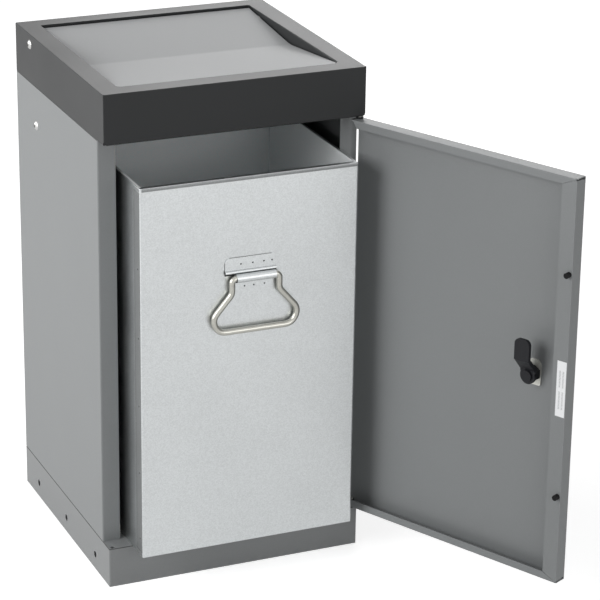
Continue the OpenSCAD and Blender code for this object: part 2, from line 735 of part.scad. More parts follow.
// Round wire in the X and Z plane through corner points, each with its bend radius
module bent_wire(p, bends, r) {
    n = len(p);
    function ang(i) = atan2(p[i + 1][1] - p[i][1], p[i + 1][0] - p[i][0]);
    function turn(i) = let (t = ang(i) - ang(i - 1)) t > 180 ? t - 360 : t < -180 ? t + 360 : t;
    function cut(i) = i <= 0 || i >= n - 1 ? 0 : bends[i]*tan(abs(turn(i))/2);
    // straight runs, a hair thinner than the bends and seated a little way into them
    for (i = [0:n - 2]) translate([p[i][0], 0, p[i][1]]) rotate([0, -ang(i), 0])
        rod_x(cut(i) - (i > 0 ? 0.4 : 0), norm(p[i + 1] - p[i]) - cut(i + 1) + (i < n - 2 ? 0.4 : 0), 0, 0, r - 0.02);
    for (i = [1:n - 2]) {
        a = ang(i - 1);
        t = turn(i);
        side = t > 0 ? 1 : -1;
        centre = p[i] - cut(i)*[cos(a), sin(a)] + side*bends[i]*[-sin(a), cos(a)];
        translate([centre[0], 0, centre[1]]) rotate([90, 0, 0])
            rotate([0, 0, t > 0 ? a - 90 : a + 90 - abs(t)])
            rotate_extrude(angle = abs(t)) translate([bends[i], 0]) circle(r);
    }
}

// Right half of the bail from its barrel to the grip, and the whole bail from it
half_path = [[0.6, 0], [32, 0], [32, -20], [bail_half + 2, -bail_drop + 19], [bail_half - 6.8, -bail_drop]];
half_bends = [0, 5.5, 12, 15, 15];
bail_path = concat(half_path, [for (k = [len(half_path) - 1:-1:0]) [-half_path[k][0], half_path[k][1]]]);
bail_bends = concat(half_bends, [for (k = [len(half_bends) - 1:-1:0]) half_bends[k]]);

module bail() color("silver") translate([handle_x, bail_y, bail_zc]) bent_wire(bail_path, bail_bends, bail_r);

base_plinth();
body_shell();
top_frame();
guide_left();
guide_right();
lower_hinge_pin();
upper_hinge_pin();
plinth_bolts();
plinth_nuts();
frame_bolts();
frame_nuts();
side_bolts();
side_spacers();
side_nuts();
flap_pivot_bolts();
flap_spacers();
flap_nuts();
flap_stop_bar();
flap_panel();
flap_bushes();
flap_springs();
door_panel();
lower_hinge_bush();
upper_hinge_bush();
door_buffers();
door_label();
lock_housing();
lock_plate();
lock_nut();
key_plug();
lock_cam();
cam_screw();
container_shell();
container_base();
handle_bracket();
bail();
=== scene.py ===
"""Cabinet bin with a throw-in flap: its finishes, softened sheet, trim and stage."""

import json
import math

import bmesh
import bpy
from bpy.props import FloatProperty, FloatVectorProperty, IntProperty, PointerProperty
from bpy.types import Operator, Panel, PropertyGroup
from mathutils import Matrix, Vector


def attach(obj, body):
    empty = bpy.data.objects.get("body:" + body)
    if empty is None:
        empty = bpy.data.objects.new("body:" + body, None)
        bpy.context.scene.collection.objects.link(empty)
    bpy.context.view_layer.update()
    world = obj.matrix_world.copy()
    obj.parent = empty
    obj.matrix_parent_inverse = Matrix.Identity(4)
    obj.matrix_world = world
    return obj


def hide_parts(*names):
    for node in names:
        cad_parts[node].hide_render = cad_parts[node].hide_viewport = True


bl_info = {
    "name": "Cabinet bin",
    "version": (1, 0, 0),
    "blender": (4, 5, 0),
    "location": "3D View > Sidebar > Cabinet bin",
    "description": "Dresses the packed cabinet bin and sets its stage",
    "category": "Object",
}

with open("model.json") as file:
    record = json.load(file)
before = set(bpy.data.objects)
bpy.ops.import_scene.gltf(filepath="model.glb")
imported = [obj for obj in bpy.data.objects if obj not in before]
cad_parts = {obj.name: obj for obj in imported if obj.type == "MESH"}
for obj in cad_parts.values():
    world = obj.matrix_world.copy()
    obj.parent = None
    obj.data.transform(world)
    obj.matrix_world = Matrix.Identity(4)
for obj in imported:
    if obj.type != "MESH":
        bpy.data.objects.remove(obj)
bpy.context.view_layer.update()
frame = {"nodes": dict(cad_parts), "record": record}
NODES = frame["nodes"]
BODY_OF = {
    node: body
    for body, members in frame["record"]["behaviour"]["bodies"].items()
    for node in members
}
SLOT_OF = {
    part["node"]: part["material_slot"] for part in frame["record"]["subparts"]
}

MM = 0.001

# How the folds and cut edges of a sheet are found in its mesh.
SAME_POINT = 0.002 * MM  # points closer than this are one
SAME_LEVEL = 0.01 * MM  # heights closer than this are one
FLAT = math.radians(0.4)  # faces that meet at less than this are one
SHARP = math.radians(28)  # folds and cut edges are at least as sharp as this
HARD_SHADE = math.radians(50)  # sharper edges keep a hard line in their shading
CUT_WIDTH = 2.4 * MM  # a face narrower than this along a sharp edge is a cut edge
SHORTEST_FOLD = 3 * MM  # shorter edges belong to holes and arcs and stay as they are
SEAM_REACH = 0.95 * MM  # how far from a joint the coat gets painted shade
ROUNDED, CUT = 1, 2  # material numbers that mark faces while a sheet is softened

# The label's map runs from 0 to 1 across it and up it; its rules are in windows of that
# map, each given by its middle and half its width.
LABEL_MAP = "film"
LABEL_COLUMNS = ((0.31, 0.09), (0.66, 0.09))
LABEL_BLOCKS = ((0.675, 0.155), (0.29, 0.16))

# Lamps: name, place, what it points at, width and height, setting that holds its power.
BIN_MIDDLE, BIN_TOP = (0, 0, 0.35), (0, 0, 0.66)
LAMPS = (
    ("Left lamp", (-3.05, -0.92, 1.7), BIN_MIDDLE, (1.8, 1.8), "key"),
    ("Side lamp", (-2.3, 1.9, 1.3), BIN_MIDDLE, (1.4, 1.4), "side"),
    ("Top lamp", (0.2, 0.4, 3.0), BIN_MIDDLE, (2.2, 2.2), "top"),
    ("Front lamp", (0.9, -3.0, 1.1), BIN_MIDDLE, (1.8, 1.4), "front"),
    ("Back lamp", (1.50, 2.55, 1.55), BIN_TOP, (1.6, 0.9), "back"),
)
SENSOR_WIDTH = 36.0  # in millimetres
CAMERA_REACH = 50.0  # in metres, as all lengths without MM
FLOOR_HALF = 6.0
FLOOR_COLOUR = (0.8, 0.8, 0.8, 1)
WHITE = (1, 1, 1, 1)

# Sockets of a Mix node for colours, and kinds of socket of a node group.
MIX_FACTOR, MIX_A, MIX_B, MIX_RESULT = 0, 6, 7, 2
FLOAT, COLOUR = "NodeSocketFloat", "NodeSocketColor"


# Settings


def colour_setting(name, description, value):
    return FloatVectorProperty(
        name=name, description=description, subtype="COLOR", size=3,
        min=0.0, max=1.0, default=value,
    )


def length_setting(name, description, value):
    return FloatProperty(
        name=name, description=description, subtype="DISTANCE", unit="LENGTH",
        min=0.0, default=value, precision=4,
    )


def share_setting(name, description, value):
    return FloatProperty(
        name=name, description=description, subtype="FACTOR", min=0.0, max=1.0,
        default=value,
    )


def angle_setting(name, description, degrees):
    return FloatProperty(
        name=name, description=description, subtype="ANGLE", unit="ROTATION",
        default=math.radians(degrees),
    )


def power_setting(name, description, watts):
    return FloatProperty(
        name=name, description=description, unit="POWER", min=0.0, default=watts,
    )


class BinPaint(PropertyGroup):
    """Powder coats of the sheet steel parts."""

    body: colour_setting(
        "Body", "Grey of the body and the door", (0.208, 0.217, 0.220))
    plinth: colour_setting(
        "Plinth", "Grey of the plinth", (0.212, 0.219, 0.221))
    frame: colour_setting(
        "Frame", "Anthracite of the frame", (0.0115, 0.0127, 0.0135))
    flap: colour_setting(
        "Flap", "Light grey of the flap", (0.384, 0.392, 0.398))
    roughness: share_setting(
        "Roughness", "Roughness of the coats", 0.42)
    grain: share_setting(
        "Grain", "Strength of the coat's fine grain", 0.16)
    grain_size: length_setting(
        "Grain size", "Size of one grain of the coat", 0.9 * MM)
    wear: share_setting(
        "Edge wear", "How much lighter the coat is along folds", 0.35)


class BinMetal(PropertyGroup):
    """Bare, plated and galvanised steel."""

    sheet: colour_setting(
        "Galvanised", "Colour of the container's sheet", (0.60, 0.62, 0.625))
    zinc: colour_setting(
        "Zinc", "Colour of plated fasteners", (0.62, 0.62, 0.58))
    bolt: colour_setting(
        "Bolt heads", "Colour of the bright domed heads", (0.52, 0.52, 0.51))
    wire: colour_setting(
        "Wire", "Colour of the bail's wire", (0.46, 0.455, 0.415))
    spangle_size: length_setting(
        "Spangle size", "Size of one zinc crystal", 1.3 * MM)
    spangle: share_setting(
        "Spangle", "Contrast between neighbouring crystals", 0.15)


class BinPlastic(PropertyGroup):
    """Plastic, rubber and label."""

    black: colour_setting(
        "Black plastic", "Colour of cam, nut and bushes", (0.010, 0.0105, 0.013))
    rubber: colour_setting(
        "Rubber", "Colour of buffers and stop bar", (0.005, 0.005, 0.0055))
    pale: colour_setting(
        "Pale plastic", "Colour of the flap's bushes", (0.68, 0.66, 0.58))
    label: colour_setting(
        "Label", "Colour of the blank label", (0.86, 0.87, 0.88))
    label_rule: colour_setting(
        "Label rules", "Colour of the faint rules", (0.16, 0.165, 0.17))


class BinEdges(PropertyGroup):
    """Softness of folded and cut edges, as the width of their rounding."""

    fold: length_setting(
        "Folds", "Width of the rounding on outer folds", 1.6 * MM)
    seam: length_setting(
        "Seams", "Width of the rounding along the joints of the cabinet", 0.9 * MM)
    frame_fold: length_setting(
        "Frame folds", "Width of the rounding on the frame's folds", 1.6 * MM)
    door_fold: length_setting(
        "Door folds", "Width of the rounding on the door's folds", 0.5 * MM)
    flap_fold: length_setting(
        "Flap folds", "Width of the rounding on the flap's folds", 0.6 * MM)
    sheet_fold: length_setting(
        "Thin folds", "Width of the rounding on folds of thin sheet", 0.8 * MM)
    rim: length_setting(
        "Rim flange", "Width of the rounding on the container's rim flange", 0.9 * MM)
    inner: length_setting(
        "Inner folds", "Width of the rounding in inner folds", 0.3 * MM)
    segments: IntProperty(
        name="Segments", description="Faces across one rounding",
        default=3, min=1, max=8,
    )


class BinWelds(PropertyGroup):
    """Flanges of the container's front sheet, its hem, spot welds and weld bead."""

    overlap: length_setting(
        "Overlap", "Width of the front sheet's flange on each side", 19 * MM)
    step: length_setting(
        "Step", "How far the flange stands proud of the side", 0.5 * MM)
    row: length_setting(
        "Row", "Distance of the row of welds from the flange's front end", 4.6 * MM)
    radius: length_setting(
        "Radius", "Radius of one spot weld", 2.4 * MM)
    rise: length_setting(
        "Rise", "Height of the ring round a weld", 0.32 * MM)
    dent: length_setting(
        "Dent", "Depth of the dent in the middle of a weld", 0.25 * MM)
    pitch: length_setting(
        "Pitch", "Distance between neighbouring welds", 92 * MM)
    lowest: length_setting(
        "Lowest", "Height of the lowest weld above the container's bottom", 25 * MM)
    hem: length_setting(
        "Hem", "Height of the hem along the front's upper edge", 4.2 * MM)
    hem_proud: length_setting(
        "Hem thickness", "How far the hem stands proud of the front", 0.7 * MM)
    bead: length_setting(
        "Bead", "Radius of the weld bead in the inner corner", 1.3 * MM)
    bead_end: length_setting(
        "Bead end", "How far below the rim the weld bead ends", 300 * MM)


class BinStage(PropertyGroup):
    """Camera, floor and light."""

    lens: FloatProperty(
        name="Lens", description="Focal length of the camera", unit="CAMERA",
        default=161.5, min=10.0, max=500.0,
    )
    camera_at: FloatVectorProperty(
        name="Camera", description="Place of the camera", subtype="XYZ", unit="LENGTH",
        size=3, default=(-1.196, -3.128, 1.618),
    )
    yaw: angle_setting(
        "Yaw", "Turn of the camera about the vertical", -23.5)
    pitch: angle_setting(
        "Pitch", "Height of the camera's view above the horizon", 21.3)
    roll: angle_setting(
        "Roll", "Tilt of the camera", 0.82)
    ambient: share_setting(
        "Ambient", "Level of the even light from all sides", 0.25)
    floor_seen: share_setting(
        "Floor in view", "Brightness added to the floor for the camera", 0.62)
    floor_mirrored: share_setting(
        "Floor in gloss", "Brightness added to the floor in glossy parts", 0.37)
    key: power_setting(
        "Key light", "Power of the large lamp at the left", 66.0)
    side: power_setting(
        "Side light", "Power of the lamp behind the left side", 29.0)
    top: power_setting(
        "Top light", "Power of the large lamp above", 10.0)
    front: power_setting(
        "Front light", "Power of the low lamp beside the camera", 19.0)
    back: power_setting(
        "Back light", "Power of the lamp behind, mirrored by the top", 14.0)


SETTINGS = {
    "bin_paint": BinPaint,
    "bin_metal": BinMetal,
    "bin_plastic": BinPlastic,
    "bin_edges": BinEdges,
    "bin_welds": BinWelds,
    "bin_stage": BinStage,
}


# Shader building


def place(tree, kind, inputs=None, **settings):
    """Adds a node; inputs maps a socket's name or number to a value or another socket."""
    node = tree.nodes.new(kind)
    for key, value in settings.items():
        setattr(node, key, value)
    for key, value in (inputs or {}).items():
        socket = node.inputs[key]
        if isinstance(value, bpy.types.NodeSocket):
            tree.links.new(value, socket)
        else:
            socket.default_value = value
    return node


def maths(tree, operation, *values):
    """Result of a Math node on one to three sockets or numbers."""
    inputs = dict(enumerate(values))
    return place(tree, "ShaderNodeMath", inputs, operation=operation).outputs[0]


def plus(tree, a, b):
    return maths(tree, "ADD", a, b)


def minus(tree, a, b):
    return maths(tree, "SUBTRACT", a, b)


def times(tree, a, b):
    return maths(tree, "MULTIPLY", a, b)


def centred(tree, value, amount):
    """Swing of a value from 0 to 1 about its middle, times an amount."""
    return times(tree, minus(tree, value, 0.5), amount)


def scaled(tree, colour, factor):
    """Colour times a factor that varies over the surface."""
    inputs = {0: colour, "Scale": factor}
    return place(tree, "ShaderNodeVectorMath", inputs, operation="SCALE").outputs[0]


def blended(tree, factor, a, b):
    """Mix of two colours; a and b are sockets or RGBA values."""
    inputs = {MIX_FACTOR: factor, MIX_A: a, MIX_B: b}
    return place(tree, "ShaderNodeMix", inputs, data_type="RGBA").outputs[MIX_RESULT]


def place_on_object(tree):
    """Where a point lies in the frame's own metres."""
    return place(tree, "ShaderNodeTexCoord").outputs["Object"]


def mask(tree, name):
    """Mask from the faces' attribute of that name."""
    return place(tree, "ShaderNodeAttribute", attribute_name=name).outputs["Fac"]


def noise(tree, coordinates, scale, detail):
    inputs = {"Vector": coordinates, "Scale": scale, "Detail": detail, "Roughness": 0.5}
    return place(tree, "ShaderNodeTexNoise", inputs).outputs["Fac"]


def effect(name, inputs, outputs):
    """New shader node group, with the sockets it is given and those it fills; inputs
    lists (name, socket kind, default) and outputs (name, socket kind)."""
    tree = bpy.data.node_groups.new(name, "ShaderNodeTree")
    for label, kind, default in inputs:
        socket = tree.interface.new_socket(label, in_out="INPUT", socket_type=kind)
        socket.default_value = default
    for label, kind in outputs:
        tree.interface.new_socket(label, in_out="OUTPUT", socket_type=kind)
    given = tree.nodes.new("NodeGroupInput").outputs
    made = tree.nodes.new("NodeGroupOutput").inputs
    return tree, given, made


def powder_coat():
    """Fine grain, mottling and orange peel; lighter along folds, with painted shade in
    joints.
    """
    name = "Powder coat"
    if name in bpy.data.node_groups:
        return bpy.data.node_groups[name]
    mottles_per_metre, patches_per_metre, peel_share = 7.0, 60.0, 0.45
    mottled_roughness, worn_gloss = 0.10, 0.12
    tree, given, made = effect(
        name,
        [("Colour", COLOUR, (0.2, 0.2, 0.2, 1)), ("Grains per metre", FLOAT, 1100.0),
         ("Grain", FLOAT, 0.15), ("Mottle", FLOAT, 0.06), ("Roughness", FLOAT, 0.42),
         ("Edge wear", FLOAT, 0.3), ("Seam shade", FLOAT, 0.85)],
        [("Colour", COLOUR), ("Roughness", FLOAT), ("Height", FLOAT)],
    )
    at = place_on_object(tree)
    grain = noise(tree, at, given["Grains per metre"], detail=1.0)
    mottle = noise(tree, at, mottles_per_metre, detail=3.0)
    peels_per_metre = times(tree, given["Grains per metre"], peel_share)
    peel = noise(tree, at, peels_per_metre, detail=1.0)
    patch = noise(tree, at, patches_per_metre, detail=3.0)
    worn = times(tree, mask(tree, "fold"), patch)
    level = plus(tree, centred(tree, grain, given["Grain"]), 1.0)
    level = plus(tree, level, centred(tree, mottle, given["Mottle"]))
    level = plus(tree, level, times(tree, worn, given["Edge wear"]))
    # painted shade: the roundings at joints are darkened, where shadow falls in the
    # groove between parts
    shade = times(tree, mask(tree, "seam"), given["Seam shade"])
    level = times(tree, level, minus(tree, 1.0, shade))
    rough = plus(tree, given["Roughness"], centred(tree, mottle, mottled_roughness))
    rough = minus(tree, rough, times(tree, worn, worn_gloss))
    tree.links.new(scaled(tree, given["Colour"], level), made["Colour"])
    tree.links.new(rough, made["Roughness"])
    tree.links.new(peel, made["Height"])
    return tree


def zinc_skin():
    """Crystals of a zinc coat, each with its own brightness and gloss; darker on bare cut
    edges and, as painted shade, on folds; duller, and paler as painted light, where the
    mask of inner faces says."""
    name = "Zinc skin"
    if name in bpy.data.node_groups:
        return bpy.data.node_groups[name]
    hazes_per_metre, haze_level, haze_roughness = 12.0, 0.08, 0.06
    specks_per_metre, painted_fold_shade, crystal_roughness = 2200.0, 0.8, 0.4
    painted_inside_light, inside_roughness = 1.1, 0.25
    tree, given, made = effect(
        name,
        [("Colour", COLOUR, (0.6, 0.6, 0.6, 1)), ("Crystals per metre", FLOAT, 600.0),
         ("Contrast", FLOAT, 0.2), ("Roughness", FLOAT, 0.45),
         ("Cut shade", FLOAT, 0.0), ("Dull inside", FLOAT, 0.0)],
        [("Colour", COLOUR), ("Roughness", FLOAT), ("Height", FLOAT), ("Metal", FLOAT)],
    )
    at = place_on_object(tree)
    cells = place(
        tree, "ShaderNodeTexVoronoi", {"Vector": at, "Scale": given["Crystals per metre"]}
    ).outputs["Color"]
    crystal = place(tree, "ShaderNodeSeparateColor", {0: cells}).outputs[0]
    haze = noise(tree, at, hazes_per_metre, detail=4.0)
    speck = noise(tree, at, specks_per_metre, detail=1.0)
    level = plus(tree, centred(tree, crystal, given["Contrast"]), 1.0)
    level = plus(tree, level, centred(tree, haze, haze_level))
    level = plus(tree, level, centred(tree, speck, given["Contrast"]))
    # painted shade: the fold roundings are darkened with the bare cut edges, drawing a
    # shadow line along the outline
    fold = times(tree, mask(tree, "fold"), painted_fold_shade)
    edge = maths(tree, "MAXIMUM", mask(tree, "cut"), fold)
    level = times(tree, level, minus(tree, 1.0, times(tree, edge, given["Cut shade"])))
    # painted light: inner faces are made paler, standing in for the light that reaches
    # into the container; they are also rougher and less metal
    inside = times(tree, given["Dull inside"], mask(tree, "inside"))
    level = plus(tree, level, times(tree, inside, painted_inside_light))
    swing = times(tree, given["Contrast"], crystal_roughness)
    rough = plus(tree, centred(tree, crystal, swing), centred(tree, haze, haze_roughness))
    rough = plus(tree, given["Roughness"], rough)
    rough = plus(tree, rough, times(tree, inside, inside_roughness))
    tree.links.new(minus(tree, 1.0, inside), made["Metal"])
    tree.links.new(scaled(tree, given["Colour"], level), made["Colour"])
    tree.links.new(rough, made["Roughness"])
    tree.links.new(crystal, made["Height"])
    return tree


def moulded_skin():
    """Matt skin of moulded plastic and rubber."""
    name = "Moulded skin"
    if name in bpy.data.node_groups:
        return bpy.data.node_groups[name]
    grain_level, smears_per_metre, smear_level, smear_roughness = 0.25, 45.0, 0.2, 0.22
    tree, given, made = effect(
        name,
        [("Colour", COLOUR, (0.02, 0.02, 0.02, 1)), ("Grains per metre", FLOAT, 1800.0),
         ("Roughness", FLOAT, 0.5)],
        [("Colour", COLOUR), ("Roughness", FLOAT), ("Height", FLOAT)],
    )
    at = place_on_object(tree)
    grain = noise(tree, at, given["Grains per metre"], detail=2.0)
    smear = noise(tree, at, smears_per_metre, detail=3.0)
    level = plus(tree, centred(tree, smear, smear_level), 1.0)
    level = plus(tree, centred(tree, grain, grain_level), level)
    rough = plus(tree, given["Roughness"], centred(tree, smear, smear_roughness))
    tree.links.new(scaled(tree, given["Colour"], level), made["Colour"])
    tree.links.new(rough, made["Roughness"])
    tree.links.new(grain, made["Height"])
    return tree


def ruled_film():
    """White film with faint plain rules in two columns and two blocks."""
    name = "Ruled film"
    if name in bpy.data.node_groups:
        return bpy.data.node_groups[name]
    gap_share, smudges_per_metre, smudge_roughness = 0.35, 900.0, 0.1
    tree, given, made = effect(
        name,
        [("Colour", COLOUR, (0.9, 0.9, 0.9, 1)),
         ("Rule colour", COLOUR, (0.4, 0.4, 0.4, 1)), ("Rules", FLOAT, 40.0),
         ("Ink", FLOAT, 0.5), ("Roughness", FLOAT, 0.5)],
        [("Colour", COLOUR), ("Roughness", FLOAT), ("Height", FLOAT)],
    )
    spread = place(tree, "ShaderNodeUVMap", uv_map=LABEL_MAP).outputs["UV"]
    across, up, _ = place(tree, "ShaderNodeSeparateXYZ", {0: spread}).outputs

    def within(value, windows):
        """1 inside either of two windows."""
        inside = [maths(tree, "COMPARE", value, *window) for window in windows]
        return maths(tree, "MAXIMUM", *inside)

    ruled = times(tree, within(across, LABEL_COLUMNS), within(up, LABEL_BLOCKS))
    stripe = maths(tree, "FRACT", times(tree, up, given["Rules"]))
    rules = maths(tree, "GREATER_THAN", stripe, gap_share)
    smudge = noise(tree, place_on_object(tree), smudges_per_metre, detail=2.0)
    ink = times(tree, times(tree, ruled, rules), times(tree, given["Ink"], smudge))
    colour = blended(tree, ink, given["Colour"], given["Rule colour"])
    rough = plus(tree, given["Roughness"], centred(tree, smudge, smudge_roughness))
    tree.links.new(colour, made["Colour"])
    tree.links.new(rough, made["Roughness"])
    tree.links.new(smudge, made["Height"])
    return tree


def finish_material(name, effect_group, effect_inputs, bump, shader_settings=None):
    """Material whose colour, roughness and bump come from one of the effects; bump is
    its strength and distance. A socket with its own setting isn't linked."""
    if name in bpy.data.materials:
        return bpy.data.materials[name]
    shader_settings = shader_settings or {}
    material = bpy.data.materials.new(name)
    material.use_nodes = True
    tree = material.node_tree
    shader = tree.nodes["Principled BSDF"]
    skin = place(tree, "ShaderNodeGroup", effect_inputs, node_tree=effect_group)
    feeds = {"Colour": "Base Color", "Roughness": "Roughness", "Metal": "Metallic"}
    for made, fed in feeds.items():
        if made in skin.outputs and fed not in shader_settings:
            tree.links.new(skin.outputs[made], shader.inputs[fed])
    strength, distance = bump
    relief = place(
        tree, "ShaderNodeBump",
        {"Height": skin.outputs["Height"], "Strength": strength, "Distance": distance},
    )
    tree.links.new(relief.outputs["Normal"], shader.inputs["Normal"])
    for label, value in shader_settings.items():
        shader.inputs[label].default_value = value
    material.diffuse_color = effect_inputs["Colour"]
    return material


def rgba(colour):
    return (*colour, 1.0)


def paint(context, name, colour, specular=0.5, roughness=None):
    """Powder coat of one colour; its roughness is the setting's, or the one given."""
    given = context.scene.bin_paint
    return finish_material(
        name, powder_coat(),
        {"Colour": rgba(colour), "Grains per metre": 1 / given.grain_size,
         "Grain": given.grain, "Roughness": roughness or given.roughness,
         "Edge wear": given.wear},
        bump=(0.25, 0.05 * MM), shader_settings={"Specular IOR Level": specular},
    )


def zinc(name, colour, size, contrast, roughness, bare_edge_and_painted_shade=0.0, dull_inside_painted_light=0.0):
    """Zinc of crystals of one size; all metal, but for the faces that are dull inside,
    which also get painted light.
    """
    all_metal = {} if dull_inside_painted_light else {"Metallic": 1.0}
    return finish_material(
        name, zinc_skin(),
        {"Colour": rgba(colour), "Crystals per metre": 1 / size, "Contrast": contrast,
         "Roughness": roughness, "Cut shade": bare_edge_and_painted_shade, "Dull inside": dull_inside_painted_light},
        bump=(0.2, 0.03 * MM), shader_settings=all_metal,
    )


def sheet_zinc(context, name, roughness, tone=1.0, bare_edge_and_painted_shade=0.0, dull_inside_painted_light=0.0):
    """Zinc of the container's sheet, with its colour times a tone; a tone below 1 is
    painted shade.
    """
    metal = context.scene.bin_metal
    return zinc(
        name, [tone * part for part in metal.sheet], metal.spangle_size, metal.spangle,
        roughness, bare_edge_and_painted_shade, dull_inside_painted_light,
    )


def plastic(name, colour, roughness, specular=0.5):
    return finish_material(
        name, moulded_skin(), {"Colour": rgba(colour), "Roughness": roughness},
        bump=(0.3, 0.05 * MM), shader_settings={"Specular IOR Level": specular},
    )


def label_film(context):
    given = context.scene.bin_plastic
    return finish_material(
        "Label", ruled_film(),
        {"Colour": rgba(given.label), "Rule colour": rgba(given.label_rule), "Ink": 0.9},
        bump=(0.1, 0.02 * MM),
    )


def material_for(context, slot):
    """The finish of one of the record's material slots."""
    scene = context.scene
    coat, metal, moulding = scene.bin_paint, scene.bin_metal, scene.bin_plastic
    makers = {
        "body_paint": lambda: paint(context, "Grey coat", coat.body),
        "plinth_paint": lambda: paint(context, "Plinth coat", coat.plinth),
        "frame_paint": lambda: paint(
            context, "Anthracite coat", coat.frame, specular=0.33),
        "flap_paint": lambda: paint(
            context, "Light grey coat", coat.flap, specular=0.35, roughness=0.52),
        # the container's inner faces get painted light, besides being duller
        "galvanised": lambda: sheet_zinc(
            context, "Galvanised sheet", roughness=0.33, dull_inside_painted_light=0.6),
        "zinc": lambda: zinc(
            "Zinc plating", metal.zinc, size=0.6 * MM, contrast=0.12, roughness=0.36),
        "bright_bolt": lambda: zinc(
            "Bright bolt", metal.bolt, size=0.5 * MM, contrast=0.05, roughness=0.3),
        "bail_steel": lambda: zinc(
            "Steel wire", metal.wire, size=0.9 * MM, contrast=0.12, roughness=0.32),
        "black_plastic": lambda: plastic(
            "Black plastic", moulding.black, roughness=0.42, specular=0.22),
        "rubber": lambda: plastic(
            "Rubber", moulding.rubber, roughness=0.7, specular=0.2),
        "bush_plastic": lambda: plastic(
            "Pale plastic", moulding.pale, roughness=0.45),
        "label": lambda: label_film(context),
    }
    return makers[slot]()


# Mesh building


def corners_of(node):
    """Lowest and highest corner of a node."""
    points = [vertex.co for vertex in NODES[node].data.vertices]
    return tuple(
        Vector([pick(point[axis] for point in points) for axis in range(3)])
        for pick in (min, max)
    )


def at_level(edge, level):
    return all(abs(vertex.co.z - level) < SAME_LEVEL for vertex in edge.verts)


def dress(context, *nodes, finish=None):
    """Gives CAD nodes, which stay as they are, their slot's finish or the one given."""
    for name in nodes:
        mesh = NODES[name].data
        coat = finish or material_for(context, SLOT_OF[name])
        if mesh.materials:
            mesh.materials[0] = coat
        else:
            mesh.materials.append(coat)


def is_cut(face):
    """True for the narrow face along a cut sheet edge, not for a facet of a rounding."""
    around = sum(edge.calc_length() for edge in face.edges)
    width = 2 * face.calc_area() / around
    longest = max(face.edges, key=lambda edge: edge.calc_length())
    return width < CUT_WIDTH and longest.calc_face_angle(0) >= SHARP


def mark_edges(mesh, fold, inner, special):
    """Sets how wide each fold is rounded, as a share of the widest, and marks cut faces;
    special gives an edge's own width, or None. Returns the widest."""
    bm = bmesh.new()
    bm.from_mesh(mesh)
    bmesh.ops.remove_doubles(bm, verts=bm.verts, dist=SAME_POINT)
    bmesh.ops.dissolve_limit(
        bm, angle_limit=FLAT, use_dissolve_boundaries=False,
        verts=bm.verts, edges=bm.edges,
    )
    bmesh.ops.recalc_face_normals(bm, faces=bm.faces)
    weight = bm.edges.layers.float.new("bevel_weight_edge")
    cut = set()
    for face in bm.faces:
        face.smooth = True
        if is_cut(face):
            cut.add(face)
            face.material_index = CUT
    widths = {}
    for edge in bm.edges:
        if len(edge.link_faces) != 2 or edge.calc_face_angle(0) < SHARP:
            continue
        width = special(edge) if special else None
        if width is None:
            at_rim = any(face in cut for face in edge.link_faces)
            if at_rim or edge.calc_length() < SHORTEST_FOLD:
                continue
            width = fold if edge.is_convex else inner
        if width > 0:
            widths[edge] = width
    widest = max(widths.values())
    for edge, width in widths.items():
        edge[weight] = width / widest
    bm.to_mesh(mesh)
    bm.free()
    mesh.set_sharp_from_angle(angle=HARD_SHADE)
    return widest


def round_off(context, draft, width, segments):
    """Rounds the marked edges of a draft and makes the result its mesh."""
    rounding = draft.modifiers.new("Rounding", "BEVEL")
    rounding.limit_method = "WEIGHT"
    rounding.width = width
    rounding.segments = segments
    rounding.use_clamp_overlap = False
    rounding.material = ROUNDED
    rounding.harden_normals = True
    rounding.miter_outer = "MITER_ARC"
    shading = draft.modifiers.new("Shading", "WEIGHTED_NORMAL")
    shading.keep_sharp = True
    shading.weight = 100
    context.view_layer.update()
    evaluated = draft.evaluated_get(context.evaluated_depsgraph_get())
    rounded = bpy.data.meshes.new_from_object(evaluated)
    draft.modifiers.clear()
    plain = draft.data
    draft.data = rounded
    bpy.data.meshes.remove(plain)
    rounded.name = draft.name


def add_masks(mesh, seams):
    """Turns the marks on faces into the masks that the finishes read."""
    names = ("fold", "cut", "seam")
    for name in names:
        mesh.attributes.new(name, "FLOAT", "FACE")
    fold, cut, seam = (mesh.attributes[name].data for name in names)
    for polygon in mesh.polygons:
        rounded = polygon.material_index == ROUNDED
        # roundings at a seam get the seam mask, which the coat turns into painted shade
        at_seam = any(abs(polygon.center.z - level) < SEAM_REACH for level in seams)
        fold[polygon.index].value = float(rounded and not at_seam)
        cut[polygon.index].value = float(polygon.material_index == CUT)
        seam[polygon.index].value = float(rounded and at_seam)
        polygon.material_index = 0
    while len(mesh.materials) > 1:
        mesh.materials.pop()


def soften(context, node, name, fold=None, special=None, finish=None, seams=()):
    """Replaces a CAD sheet by a copy with rounded folds; seams are heights of joints,
    whose roundings get painted shade in the coat.
    """
    edges = context.scene.bin_edges
    mesh = NODES[node].data.copy()
    mesh.name = name
    mesh.materials.clear()
    finish = finish or material_for(context, SLOT_OF[node])
    for _ in range(max(ROUNDED, CUT) + 1):
        mesh.materials.append(finish)
    if "custom_normal" in mesh.attributes:
        mesh.attributes.remove(mesh.attributes["custom_normal"])
    widest = mark_edges(mesh, fold or edges.fold, edges.inner, special)
    draft = bpy.data.objects.new(name, mesh)
    context.scene.collection.objects.link(draft)
    round_off(context, draft, widest, edges.segments)
    add_masks(draft.data, seams)
    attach(draft, BODY_OF[node])
    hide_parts(node)
    return draft


